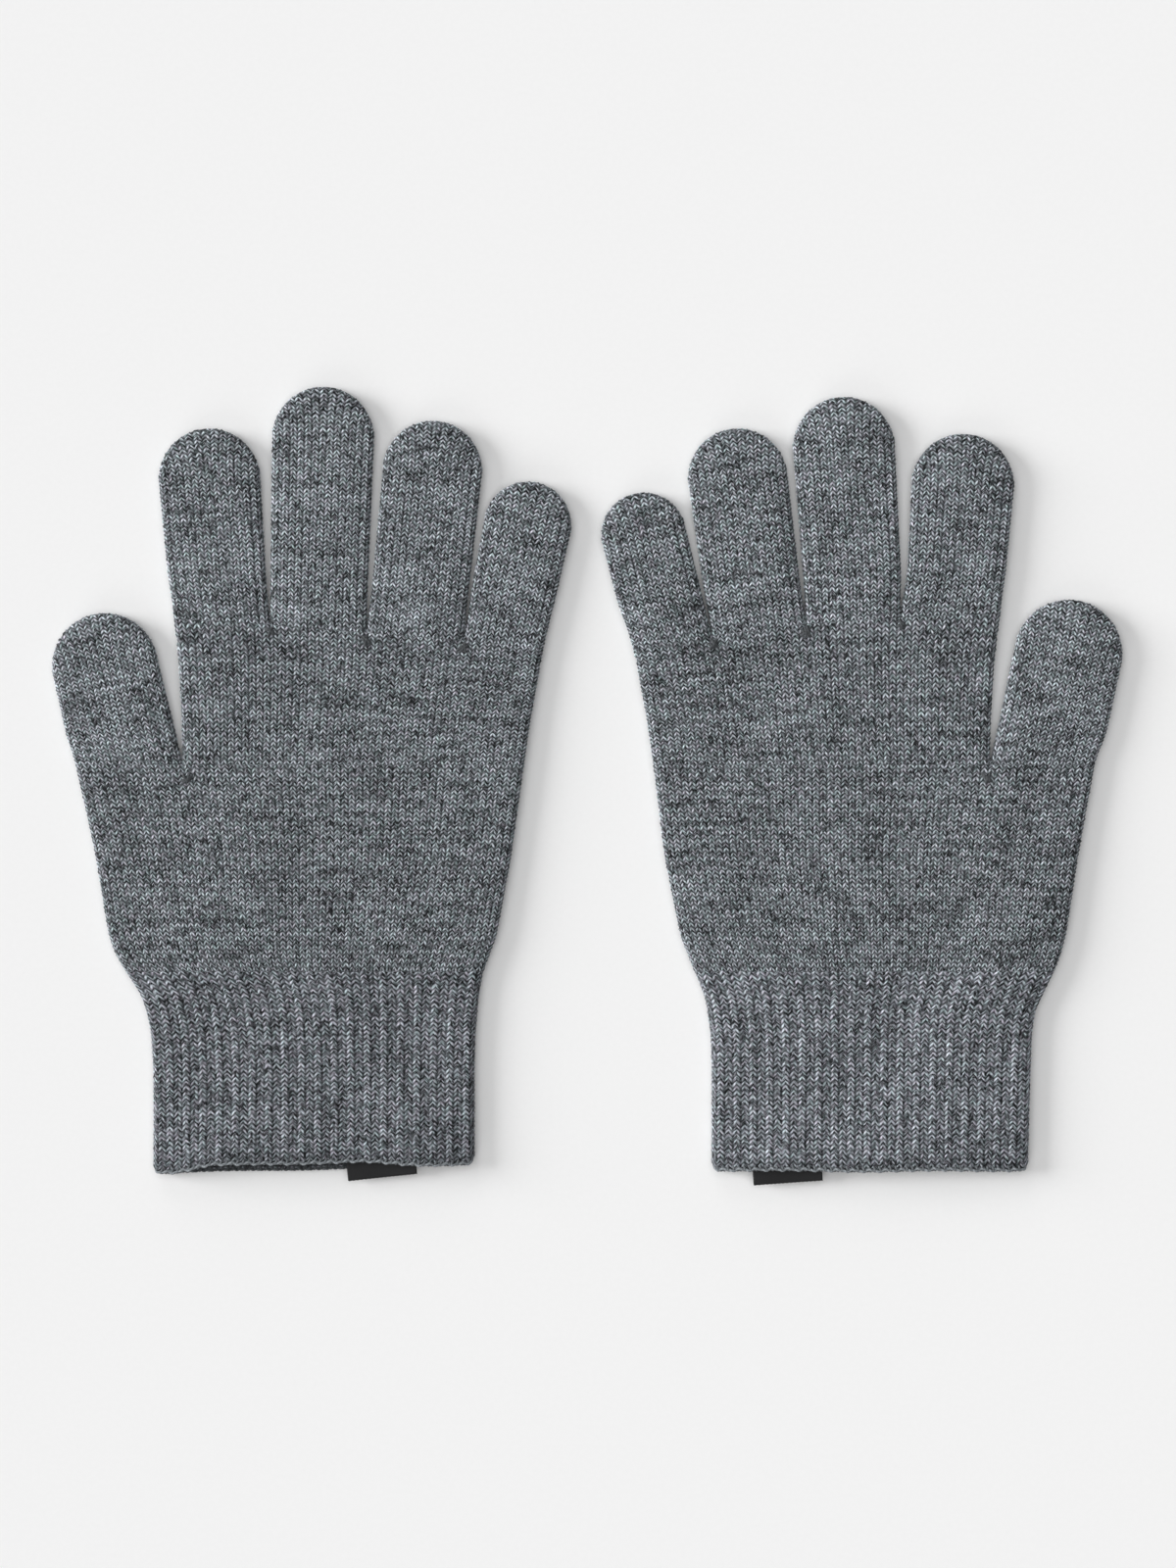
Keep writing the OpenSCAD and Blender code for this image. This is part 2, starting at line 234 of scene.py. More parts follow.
def edge_line(points):
    """Place of an edge as a smooth function of the level, through given points."""
    margin, step, window = 6, 0.25, 19
    ys = np.array([p[0] for p in points][::-1], float)
    xs = np.array([p[1] for p in points][::-1], float)
    fine = np.arange(ys[0] - margin, ys[-1] + margin, step)
    raw = np.interp(fine, ys, xs)
    first, last = (xs[1] - xs[0]) / (ys[1] - ys[0]), (xs[-1] - xs[-2]) / (ys[-1] - ys[-2])
    raw = np.where(fine < ys[0], xs[0] + (fine - ys[0]) * first, raw)
    raw = np.where(fine > ys[-1], xs[-1] + (fine - ys[-1]) * last, raw)
    kernel = np.hanning(window)
    pad = np.pad(raw, window // 2, mode="reflect", reflect_type="odd")
    soft = np.convolve(pad, kernel / kernel.sum(), "valid")
    return lambda y: np.interp(y, fine, soft)


def level(y):
    """A level line, in the form that palm_place takes."""
    return lambda x, top=None: np.full_like(x, float(y))


def cuff_low(side):
    """Lower edge of the cuff at place x: rounded at the corners, its front raised on the left glove."""
    glove = GLOVES[side]
    end = glove["cuff_end"]
    left, right = edge_line(glove["inner"])(end), edge_line(glove["outer"])(end)

    def line(x, top):
        near = np.minimum(x - left, right - x)
        t = np.clip(1 - near / CORNER, 0, 1)
        y = end + CORNER * (1 - np.sqrt(1 - t * t))
        y = y + HEM_WAVE * np.sin(x / 5.2 + glove["seed"])
        y = y + glove["hem_tilt"] * x - glove["hem_low"] + glove["hem_rise"] * smooth((x - 8) / 20)
        arch = glove["front_arch"] * smooth((x + 29) / 10) * smooth((28 - x) / 18)
        return y + np.where(top, arch, 0)

    return line


def to_plan(a):
    """Plan distance from the rim of a point at distance a from it along the fabric."""
    t = np.clip(a / RIM, 0, HALF_PI)
    return RIM * (1 - np.cos(t)) + np.maximum(0, a - RIM * HALF_PI)


def puff(side, x, y):
    """Slow rise and fall of the upper layer at place (x, y)."""
    turn = GLOVES[side]["wave_turn"]
    z = WAVES[0] * np.sin(x / 7.3 + turn) * np.sin(y / 9.1 + 2 * turn)
    z += WAVES[1] * np.sin(x / 4.1 + y / 6.7 + turn)
    z += WAVES[2] * np.sin(y / 3.3 - x / 11 + turn)
    for bulge_x, bulge_y, wide, long, high in GLOVES[side]["bulges"]:
        z += high * np.exp(-((x - bulge_x) / wide) ** 2 - ((y - bulge_y) / long) ** 2)
    return z


def height(side, x, y, d, gx, gy, top):
    """Level and outward direction of the fabric at place (x, y), which is d inside the outline.
    (gx, gy) is the way in from the outline, and top is true on the upper layer."""
    t = np.clip(d / RIM, 0, 1)
    round_z = RIM * np.sqrt(1 - (1 - t) ** 2)
    round_slope = (1 - t) / np.maximum(np.sqrt(1 - (1 - t) ** 2), 1e-3)
    p = np.clip(d / RISE_RUN, 0, 1)
    rise = RISE * (1 - (1 - p) ** 2)
    slope = np.where(top, round_slope + 2 * RISE / RISE_RUN * (1 - p), round_slope)
    rise = rise + MOUTH_RISE * smooth((MOUTH_FROM - y) / MOUTH_RUN) * smooth(d / MOUTH_SIDE)
    fold = FOLD_DEPTH * np.exp(-((d - FOLD_IN) / FOLD_WIDTH) ** 2) * smooth((y - FOLD_FROM) / FOLD_RUN)
    upper = RIM + round_z + rise - fold + puff(side, x, y) * smooth(d / WAVE_EDGE)
    size = np.sqrt(1 + slope ** 2)
    return (np.where(top, upper, RIM - round_z), -gx * slope / size, -gy * slope / size,
            np.where(top, 1.0, -1.0) / size)


def world(side, points):
    """Places on a glove, in mm, to places in the row frame, in mm."""
    out = np.array(points, float)
    out[..., 0] = GLOVES[side]["offset"] + GLOVES[side]["sign"] * out[..., 0]
    out[..., 2] += LIFT
    return out


def place_m(side, x, y, z=4.0):
    """The same for one place, in metres; without a level it is half-way up the CAD glove."""
    return tuple(float(v) * MM for v in world(side, np.array([x, y, z])))


def knuckle(place):
    """Level of the knuckle line at a place."""
    return KNUCKLE_Y - place * math.tan(KNUCKLE_SLOPE)


def finger_place(glove, name, ends):
    """Function of (f, v) on a finger: f is the place across one layer from -1 to 1, v the course.
    ends are the crotches on either side of it. The second result gives the last course at f."""
    place, lean, tip_w, length = glove["fingers"][name]
    lean = math.radians(lean)
    root_y = THUMB_FOLD_Y if name == "thumb" else knuckle(place)
    along, across = (math.sin(lean), math.cos(lean)), (math.cos(lean), -math.sin(lean))
    tip_r = tip_w / 2 - TIP_IN
    end_s = length - tip_w / 2 + TIP_OUT
    base_w = FINGER_BASE_W[name] / 2 - BASE_IN

    def local(p):
        dx, dy = p[0] - place, p[1] - root_y
        return dx * across[0] + dy * across[1], dx * along[0] + dy * along[1]

    (n_a, s_a), (n_b, s_b) = local(ends[0]), local(ends[1])
    straight = int(round((end_s - (s_a + s_b) / 2) / COURSE))
    flat_r = tip_r + EDGE_EXTRA

    def sides(s):
        half = base_w + (tip_r - base_w) * np.clip(s / end_s, 0, 1)
        left = n_a + (-half - n_a) * smooth((s - s_a) / (ROOT_RUN - s_a))
        right = n_b + (half - n_b) * smooth((s - s_b) / (ROOT_RUN - s_b))
        return left, right

    def rim(f):
        phi = (1 - TIP_FAN) * np.arcsin(np.clip(f, -1, 1)) + TIP_FAN * 2 * np.arctan(f)
        return flat_r * np.sin(phi), flat_r * np.cos(phi)

    def top_course(f):
        return straight + rim(f)[1] / COURSE

    def surface(f, v, top):
        base_half = (n_b - n_a) / 2
        base_d = to_plan((base_half + EDGE_EXTRA) * (1 - np.abs(f)))
        base_n = base_half + np.sign(f) * (base_half - base_d)
        start = s_a + (s_b - s_a) * base_n / (n_b - n_a)
        s = start + (end_s - start) * np.minimum(v, straight) / straight
        left, right = sides(s)
        mid, half = (left + right) / 2, (right - left) / 2
        d = to_plan((half + EDGE_EXTRA) * (1 - np.abs(f)))
        n = mid + np.sign(f) * (half - d)
        grad_n, grad_s = -np.sign(f), np.zeros_like(f)
        rim_x, rim_y = rim(f)
        y = (v - straight) * COURSE
        t = np.clip(y / np.maximum(rim_y, 1e-6), 0, 1)
        x = f * flat_r + (rim_x - f * flat_r) * t * t
        rho = np.hypot(x, y)
        tip_d = to_plan(np.maximum(flat_r - rho, 0))
        scale = (tip_r - tip_d) / np.maximum(rho, 1e-6)
        tip = v > straight
        n = np.where(tip, x * scale, n)
        s = np.where(tip, end_s + y * scale, s)
        d = np.where(tip, tip_d, d)
        grad_n = np.where(tip, -x / np.maximum(rho, 1e-6), grad_n)
        grad_s = np.where(tip, -y / np.maximum(rho, 1e-6), grad_s)
        return (place + n * across[0] + s * along[0], root_y + n * across[1] + s * along[1], d,
                grad_n * across[0] + grad_s * along[0], grad_n * across[1] + grad_s * along[1])

    return surface, top_course


def palm_place(left_edge, right_edge, low_line, high_line, courses, crotches):
    """Function of (f, v) on the palm or cuff between two edges, from one line up to another."""
    def surface(f, v, top):
        y = low_line(f, top) + v * 0
        for _ in range(3):
            x_l, x_r = left_edge(y), right_edge(y)
            x = (x_l + x_r) / 2 + f * (x_r - x_l) / 2
            y = low_line(x, top) + (high_line(x) - low_line(x, top)) * v / courses
        x_l, x_r = left_edge(y), right_edge(y)
        half = (x_r - x_l) / 2
        d = to_plan((half + EDGE_EXTRA) * (1 - np.abs(f)))
        x = (x_l + x_r) / 2 + np.sign(f) * (half - d)
        gx, gy = -np.sign(f), np.zeros_like(f)
        for cx, cy in crotches:
            far = np.hypot(x - cx, y - cy)
            near = far < d
            d = np.where(near, far, d)
            gx = np.where(near, (x - cx) / np.maximum(far, 1e-3), gx)
            gy = np.where(near, (y - cy) / np.maximum(far, 1e-3), gy)
        return x, y, d, gx, gy

    return surface, lambda f: np.full_like(f, float(courses))


def across_tube(columns, per_layer):
    """Place across one layer, -1 to 1, and whether it is the upper one, at columns round a tube."""
    c = np.array(columns, float)
    f = np.where(c <= per_layer, -1 + 2 * c / per_layer, 1 - 2 * (c - per_layer) / per_layer)
    return f, c < per_layer


# ---------------------------------------------------------------- meshes
def shell_grid(side, surface, top_course, columns, rows, zig, per_layer):
    """Places, outward directions and courses of a tube's grid, rows by columns.
    Rows below the first course or above the last one are drawn in to it; first and last say where."""
    f, top = across_tube(columns, per_layer)
    r = np.array(rows, float)[:, None]
    v_end = top_course(f)[None, :]
    raw = r - zig[None, :]
    v = np.clip(raw, 0, v_end)
    across = np.broadcast_to(f, v.shape).copy()
    upper = np.broadcast_to(top, v.shape)
    x, y, d, gx, gy = surface(across, v, upper)
    z, nx, ny, nz = height(side, x, y, d, gx, gy, upper)
    first = np.maximum((raw <= 0).sum(0) - 1, 0)
    last = np.minimum((raw < v_end).sum(0), len(rows) - 1)
    return (np.stack([x, y, z], -1), np.stack([nx, ny, nz], -1), first, last,
            np.broadcast_to(r, v.shape))


def number(first, last, rows, closed):
    """Vertex numbers of a grid whose columns start at row first and stop at row last.
    At a closed end the lower layer's last vertices are the upper layer's."""
    count = len(first)
    i = np.arange(rows)[:, None]
    used = (i >= first) & (i <= last)
    shared = range(count // 2 + 1, count) if closed else ()
    for j in shared:
        used[last[j], j] = False
    ids = np.where(used, np.cumsum(used).reshape(used.shape) - 1, -1)
    for j in shared:
        ids[last[j], j] = ids[last[count - j], count - j]
    return np.take_along_axis(ids, np.clip(i, first, last), 0), used


def corners(u0, u1, v0, v1):
    """Coordinates of the four corners of faces that reach from u0 to u1 and from v0 to v1."""
    return np.stack([np.stack([u0, v0], -1), np.stack([u1, v0], -1),
                     np.stack([u1, v1], -1), np.stack([u0, v1], -1)], -2)


def grid_faces(full, columns, wrap, courses):
    """Quads of a grid that closes at column wrap, with the stitch coordinates of each corner."""
    j = np.arange(full.shape[1])
    k = (j + 1) % len(j)
    quads = np.stack([full[:-1][:, j], full[:-1][:, k], full[1:][:, k], full[1:][:, j]], -1)
    low, high = courses[:-1], courses[1:]
    one = np.ones_like(low)
    uv = corners(columns * one, np.append(columns[1:], wrap) * one, low, high)
    return quads.reshape(-1, 4), uv.reshape(-1, 4, 2)


def end_faces(outer, inner, columns, course, upper):
    """Quads that join the outside to the inside of the fabric round one end of a tube."""
    many, few = len(outer), len(inner)
    steps = many // few
    k, k2 = np.arange(many), np.arange(few)
    own = k // steps
    to = np.where(k % steps >= steps // 2, (own + 1) % few, own)
    knee = k2 * steps + steps // 2
    strip = np.stack([outer, inner[to], inner[to], outer[(k + 1) % many]], -1)
    fan = np.stack([outer[knee], inner, inner[(k2 + 1) % few], outer[knee]], -1)
    quads = np.concatenate([strip, fan])
    uv = np.zeros((len(quads), 4, 2))
    uv[:many, :, 0] = columns[:, None]
    uv[many:, :, 0] = k2[:, None]
    uv[..., 1] = course
    return (quads[:, ::-1] if upper else quads), uv


def build_mesh(name, points, quads, uv, relief_and_painted_shade, flip=False):
    """An object from quads; corners that fell together are dropped, and flip turns the faces over."""
    keep = quads != np.roll(quads, -1, axis=1)
    good = keep.sum(1) >= 3
    quads, uv, keep = quads[good], uv[good], keep[good]
    sizes = keep.sum(1)
    if flip:
        quads, uv, keep = quads[:, ::-1], uv[:, ::-1], keep[:, ::-1]
    loops = quads[keep]
    mesh = bpy.data.meshes.new(name)
    mesh.vertices.add(len(points))
    mesh.vertices.foreach_set("co", (points * MM).astype(np.float32).ravel())
    mesh.loops.add(len(loops))
    mesh.loops.foreach_set("vertex_index", loops.astype(np.int32))
    mesh.polygons.add(len(sizes))
    starts = np.concatenate([[0], np.cumsum(sizes)[:-1]]).astype(np.int32)
    mesh.polygons.foreach_set("loop_start", starts)
    mesh.polygons.foreach_set("use_smooth", np.ones(len(sizes), bool))
    layer = mesh.uv_layers.new(name="stitch")
    layer.data.foreach_set("uv", uv[keep].astype(np.float32).ravel())
    # the attribute holds the stitches' height, which the knit material turns into painted shade in their
    # hollows, and on threads their painted shade
    attribute = mesh.attributes.new("relief_and_painted_shade", "FLOAT", "POINT")
    attribute.data.foreach_set("value", relief_and_painted_shade.astype(np.float32))
    mesh.update(calc_edges=True)
    mesh.validate()
    obj = bpy.data.objects.new(name, mesh)
    bpy.context.collection.objects.link(obj)
    return obj


# ---------------------------------------------------------------- the knitted pieces
def stitch_relief(c, r_index, rng):
    """Height from 0 to 1 of a plain stitch at sub-column c and half-course r_index."""
    off = np.abs((c % 1) - 0.5)
    crest = (r_index % 2 == 0)[:, None]
    leg, middle = np.abs(off - 0.25) < 0.01, off < 0.01
    high = np.where(leg, 1.0, np.where(middle, 0.62, 0.34))[None, :]
    low = np.where(leg, 0.42, np.where(middle, 0.2, 0.0))[None, :]
    h = np.where(crest, high, low)
    return h + rng.normal(0, 0.09, h.shape)


def rib_relief(c, r_index, rng):
    """Height from 0 to 1 of the ribbed cuff at place c, in ribs."""
    u = np.abs((2 * c) % 1 - 0.5)
    leg, middle = np.abs(u - 0.25) < 0.01, u < 0.01
    crest = (r_index % 2 == 0)[:, None]
    high = np.where(leg, 0.62, np.where(middle, 0.4, 0.2))[None, :]
    low = np.where(leg, 0.3, np.where(middle, 0.1, 0.0))[None, :]
    raised = 0.32 * np.cos(2 * math.pi * (c - 0.25)).clip(-0.4, 1)[None, :]
    h = np.where(crest, high, low) + raised
    return h + rng.normal(0, 0.035, h.shape)


def knit(side, name, surface, top_course, per_layer, courses=None, rib=False, join=None):
    """A knitted tube: stitches in relief outside, smooth inside, with a fabric edge at each open end.
    Without a number of courses its far end is closed, as at a fingertip. On a rib per_layer counts
    ribs; join is a sunken course."""
    rng = np.random.default_rng(GLOVES[side]["seed"] * 100 + PIECE_SEEDS[name])
    closed = courses is None
    wales = 2 if rib else 1
    mid_level, end_level = 0.55, 0.45
    columns = np.arange(2 * STEPS * wales * per_layer) / (STEPS * wales)
    zig = LEAN * np.abs((wales * columns) % 1 - 0.5)
    top = int(math.ceil(float(np.max(top_course(np.linspace(-1, 1, 41)))) + zig.max())) + 1
    rows = np.arange(2 * top + 1) / 2
    points, normals, first, last, r = shell_grid(side, surface, top_course, columns, rows, zig, per_layer)
    index = np.arange(len(rows))
    if rib:
        relief_and_painted_shade = rib_relief(columns, index, rng)
    else:
        relief_and_painted_shade = stitch_relief(columns, index, rng)
        if join is not None:
            relief_and_painted_shade = relief_and_painted_shade - JOIN_DEPTH * (np.abs(rows - join) < 0.8)[:, None]
        at_end = (index[:, None] <= first) | (index[:, None] >= last)
        relief_and_painted_shade = np.where(at_end, end_level, relief_and_painted_shade)
    points = points + normals * ((relief_and_painted_shade - mid_level) * (RIB_RELIEF if rib else RELIEF))[..., None]
    outer, used = number(first, last, len(rows), closed)
    quads, uv = grid_faces(outer, columns, 2 * per_layer, r)

    in_columns = np.arange(2 * per_layer, dtype=float)
    in_rows = np.arange(0, top + top % 2 + 1, 2)
    in_points, in_normals, first, last, r = shell_grid(side, surface, top_course, in_columns, in_rows,
                                                       np.zeros(len(in_columns)), per_layer)
    in_points = in_points - in_normals * WALL
    inner, in_used = number(first, last, len(in_rows), closed)
    inner = inner + int(used.sum())
    in_quads, in_uv = grid_faces(inner, in_columns, 2 * per_layer, r)

    faces = [(quads, uv), (in_quads[:, ::-1], in_uv[:, ::-1]),
             end_faces(outer[0], inner[0], columns, 0, False)]
    if not closed:
        faces.append(end_faces(outer[-1], inner[-1], columns, courses, True))
    quads, uv = (np.concatenate(part) for part in zip(*faces))
    points = np.concatenate([points[used], in_points[in_used]])
    relief_and_painted_shade = np.concatenate([relief_and_painted_shade[used], np.full(int(in_used.sum()), 0.5)])
    return build_mesh(f"{side}_{name}_knit", world(side, points), quads, uv, relief_and_painted_shade, side == "right")


def make_gloves():
    """The knitted pieces of both gloves, by side and name."""
    pieces = {}
    for side, glove in GLOVES.items():
        outer, inner, web = (edge_line(glove[k]) for k in ("outer", "inner", "web"))
        crotches = list(glove["crotches"])
        crotches[0] = (float(web(crotches[0][1])), crotches[0][1])
        crotches[4] = (float(outer(crotches[4][1])), crotches[4][1])
        cx, cy = np.array(crotches).T

        def finger_line(x, top=None):
            return np.interp(x, cx, cy) + SEAM_LAP

        for i, name in enumerate(FOUR):
            surface, top_course = finger_place(glove, name, crotches[i:i + 2])
            wales = int(round((FINGER_BASE_W[name] + 2 * EDGE_EXTRA) / WALE))
            pieces[side, name] = knit(side, name, surface, top_course, wales)
        ends = [(glove["inner"][0][1], THUMB_LEVEL), glove["thumb_crotch"]]
        surface, top_course = finger_place(glove, "thumb", ends)
        pieces[side, "thumb"] = knit(side, "thumb", surface, top_course, THUMB_WALES)
        palms = {
            "four_finger_palm": (web, level(THUMB_LEVEL), finger_line, crotches[1:4], JOIN_COURSE),
            "five_finger_palm": (inner, level(PALM_END), level(THUMB_LEVEL + SEAM_LAP),
                                 [glove["thumb_crotch"]], None),
        }
        for name, (near_edge, low, high, holes, join) in palms.items():
            courses = PALM_COURSES[name]
            surface, top_course = palm_place(near_edge, outer, low, high, courses, holes)
            pieces[side, name] = knit(side, name, surface, top_course, PALM_WALES[name], courses, join=join)
        surface, top_course = palm_place(inner, outer, cuff_low(side), level(PALM_END + SEAM_LAP),
                                         CUFF_COURSES, [])
        pieces[side, "cuff"] = knit(side, "cuff", surface, top_course, CUFF_RIBS, CUFF_COURSES, rib=True)
    return pieces


# ---------------------------------------------------------------- threads, darns and labels
def tube(name, paths, radius, sides=6):
    """Yarn of a given radius along (path, closed, painted_shade) paths, in row-frame mm, as one mesh.
    Its coordinates are (length, turn), and a painted shade from 0 to 1, which darkens parts that lie in
    shadow, is kept for the material."""
    points, quads, uvs, painted_shades = [], [], [], []
    start = 0
    tapered = 0.55
    for path, closed, painted_shade in paths:
        p = np.array(path, float)
        n = len(p)
        painted_shades.append(np.repeat(np.zeros(n) + painted_shade, sides))
        ahead = np.roll(p, -1, 0) - np.roll(p, 1, 0)
        if not closed:
            ahead[0], ahead[-1] = p[1] - p[0], p[-1] - p[-2]
        ahead /= np.linalg.norm(ahead, axis=1)[:, None]
        side_dir = np.cross(ahead, np.tile(np.array([[0.13, 0.21, 0.97]]), (n, 1)))
        side_dir /= np.linalg.norm(side_dir, axis=1)[:, None]
        up = np.cross(side_dir, ahead)
        turn = np.arange(sides) * 2 * math.pi / sides
        r = np.full(n, radius)
        if not closed:
            r[0] = r[-1] = radius * tapered
        ring = (np.cos(turn)[None, :, None] * side_dir[:, None, :]
                + np.sin(turn)[None, :, None] * up[:, None, :])
        points.append((p[:, None, :] + r[:, None, None] * ring).reshape(-1, 3))
        run = np.concatenate([[0], np.cumsum(np.linalg.norm(np.diff(p, axis=0), axis=1))])
        run = np.append(run, run[-1] + radius)
        i, k = np.meshgrid(np.arange(n if closed else n - 1), np.arange(sides), indexing="ij")
        nxt, k1 = (i + 1) % n, (k + 1) % sides
        q = np.stack([i * sides + k, nxt * sides + k, nxt * sides + k1, i * sides + k1], -1) + start
        quads.append(q.reshape(-1, 4)[:, ::-1])
        uv = corners(run[i], run[i + 1], k / sides, (k + 1) / sides)
        uvs.append(uv.reshape(-1, 4, 2)[:, ::-1])
        if not closed:
            for end, order in ((0, 1), (n - 1, -1)):
                loop = (end * sides + np.arange(sides))[::order] + start
                for m in range(1, sides - 1):
                    quads.append(np.array([[loop[0], loop[m], loop[m + 1], loop[0]]]))
                    uvs.append(np.zeros((1, 4, 2)))
        start += n * sides
    return build_mesh(name, np.concatenate(points), np.concatenate(quads), np.concatenate(uvs),
                      np.concatenate(painted_shades))


def mouth(side, columns, lift, out):
    """Places round the cuff's mouth at rib coordinate columns, lift mm above its edge and out mm from
    mid-wall, drawn in at the side folds."""
    glove = GLOVES[side]
    surface, _ = palm_place(edge_line(glove["inner"]), edge_line(glove["outer"]), cuff_low(side),
                            level(PALM_END), CUFF_COURSES, [])
    f, top = across_tube(np.array(columns, float) % (2 * CUFF_RIBS), CUFF_RIBS)
    lift = np.array(lift, float)
    course_height = 1.07
    x, y, d, gx, gy = surface(f, np.maximum(lift / course_height + np.zeros_like(f), 0), top)
    y = y + np.minimum(lift, 0)
    z, nx, ny, nz = height(side, x, y, d, gx, gy, top)
    tuck = 1 - 0.8 * smooth((np.abs(f) - 0.9) / 0.1)
    push = np.array(out, float) * tuck - WALL / 2
    return world(side, np.stack([x + nx * push, y + ny * push, z + nz * push], -1))


def make_hem(side):
    """Overlocked edge: a thread wound over the edge and a chain of loops along it, inside and out."""
    per_turn, per_rib = 12, 20
    wound = np.arange(2 * CUFF_RIBS * HEM_TURNS * per_turn) / (HEM_TURNS * per_turn)
    a = 2 * math.pi * np.arange(len(wound)) / per_turn
    coil = mouth(side, wound, 0.1 - 0.5 * np.cos(a), 0.52 * np.sin(a))
    along = np.arange(2 * CUFF_RIBS * per_rib) / per_rib
    c = 2 * math.pi * np.arange(len(along)) / per_rib
    b = 2 * c
    chain = mouth(side, along, -0.2 + 0.22 * np.cos(c) + 0.12 * np.sin(b), 0.5 + 0.12 * np.cos(b))
    chain_in = mouth(side, along, -0.25 + 0.16 * np.sin(b + 2), -0.35 + 0.1 * np.cos(b))
    # painted shade: the back layer's coil and chain, and the inner chain, are darkened as if in shadow under
    # the front layer
    coil_painted_shade = np.where(wound < CUFF_RIBS, 0.35, 0.06)
    chain_painted_shade = np.where(along < CUFF_RIBS, 0.82, 0.5)
    return tube(f"{side}_cuff_hem_thread", [(coil, True, coil_painted_shade), (chain, True, chain_painted_shade),
                                            (chain_in, True, 0.05)], HEM_THREAD)


def make_elastic(side):
    """Elastic rounds laid into the rib, inside the fabric."""
    ring = np.arange(2 * CUFF_RIBS * STEPS) / STEPS
    paths = [(mouth(side, ring, lift, -ELASTIC_IN), True, 0.7)
             for lift in np.linspace(*ELASTIC_SPAN, ELASTIC_ROUNDS)]
    return tube(f"{side}_elastic_rounds", paths, ELASTIC)


def make_darns(side):
    """Small darned knots that close the crotches, of crossed turns of yarn."""
    glove = GLOVES[side]
    rng = np.random.default_rng(glove["seed"] + 5)
    thumb_x, _ = glove["thumb_crotch"]
    knots = [((thumb_x + 0.9, THUMB_LEVEL - 2.9), glove["thumb_crotch"])]
    knots += [((x, y - 1.6), (x, y)) for x, y in glove["crotches"][1:4]]
    paths = []
    for (x0, y0), crotch in knots:
        for k in range(DARN_TURNS):
            turn = rng.uniform(-0.9, 0.9) + (HALF_PI if k % 2 else 0)
            t = np.linspace(-1, 1, 9)
            length, drift = rng.uniform(1.0, 1.6), rng.uniform(-0.5, 0.5)
            px = x0 + t * length * math.cos(turn) - drift * math.sin(turn)
            py = y0 + t * length * math.sin(turn) + drift * math.cos(turn)
            d = np.hypot(px - crotch[0], py - crotch[1])
            flat = np.zeros_like(px)
            z, _, _, _ = height(side, px, py, d, flat, flat, np.ones_like(px, bool))
            z = z + 0.08 + 0.34 * (1 - t ** 2) - 0.25 * t ** 4
            paths.append((world(side, np.stack([px, py, z], -1)), False, 0.7))
    return tube(f"{side}_crotch_darn_yarn", paths, DARN_YARN)


def label_section(out):
    """Cross-section of the doubled ribbon as a closed ring of (way out, level) points, in mm."""
    bend_r = (LABEL_GAP + LABEL_THICK) / 2
    lower = [(-s, -bend_r) for s in np.linspace(-LABEL_SEWN, out - bend_r, 12)]
    bend = [(-(out - bend_r) - bend_r * math.cos(a), bend_r * math.sin(a))
            for a in np.linspace(-HALF_PI, HALF_PI, 9)[1:-1]]
    line = np.array(lower + bend + [(y, -z) for y, z in lower[::-1]])
    ahead = np.gradient(line, axis=0)
    ahead /= np.linalg.norm(ahead, axis=1)[:, None]
    side_dir = np.stack([-ahead[:, 1], ahead[:, 0]], -1)
    return np.concatenate([line + side_dir * LABEL_THICK / 2, (line - side_dir * LABEL_THICK / 2)[::-1]])


def label_middle(side, piece):
    """Middle of a label part's CAD box in plan, the level of the box's inner edge, and the turn."""
    lo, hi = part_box(f"{side}_{piece}")
    glove = GLOVES[side]
    x = (lo[0] + hi[0]) / 2 / MM + glove["label_shift"]
    turn = math.radians(glove["label_turn"]) * glove["sign"]
    return x, (lo[1] + hi[1]) / 2 / MM, max(lo[1], hi[1]) / MM, turn


def make_label(side):
    """Folded woven ribbon sewn inside the hem: one thin closed sheet, doubled over at its free edge."""
    mid_x, _, hem_y, turn = label_middle(side, "label")
    out = GLOVES[side]["label_out"]
    across = np.linspace(-LABEL_WIDTH / 2, LABEL_WIDTH / 2, 53)
    ring = label_section(out)
    m, n = len(across), len(ring)
    a, r = np.meshgrid(across, np.arange(n), indexing="ij")
    y2, z2 = ring[r, 0], ring[r, 1]
    wave = 0.12 * np.sin(a / 2.7 + GLOVES[side]["seed"]) * smooth((-y2) / 2)
    fray = np.where(y2 < -out + 0.4, LABEL_FRAY * np.sin(a * 7.0), 0)
    x = mid_x + a * math.cos(turn) - y2 * math.sin(turn)
    y = hem_y + a * math.sin(turn) + y2 * math.cos(turn) + fray
    points = np.stack([x, y, LABEL_LEVEL + z2 + wave], -1).reshape(-1, 3)
    i, k = np.meshgrid(np.arange(m - 1), np.arange(n), indexing="ij")
    k1 = (k + 1) % n
    quads = [np.stack([i * n + k, (i + 1) * n + k, (i + 1) * n + k1, i * n + k1], -1).reshape(-1, 4)]
    u = np.concatenate([[0], np.cumsum(np.linalg.norm(np.diff(ring, axis=0), axis=1))])
    u = np.append(u, u[-1] + LABEL_THICK)
    uvs = [corners(across[i], across[i + 1], u[k], u[k + 1]).reshape(-1, 4, 2)]
    for end, order in ((0, 1), (m - 1, -1)):
        q = np.arange(n // 2 - 1)
        caps = end * n + np.stack([q, q + 1, n - 2 - q, n - 1 - q], -1)
        quads.append(caps[:, ::order])
        uvs.append(np.zeros((len(q), 4, 2)))
    return build_mesh(f"{side}_label_ribbon", points, np.concatenate(quads), np.concatenate(uvs),
                      np.full(len(points), 0.5))


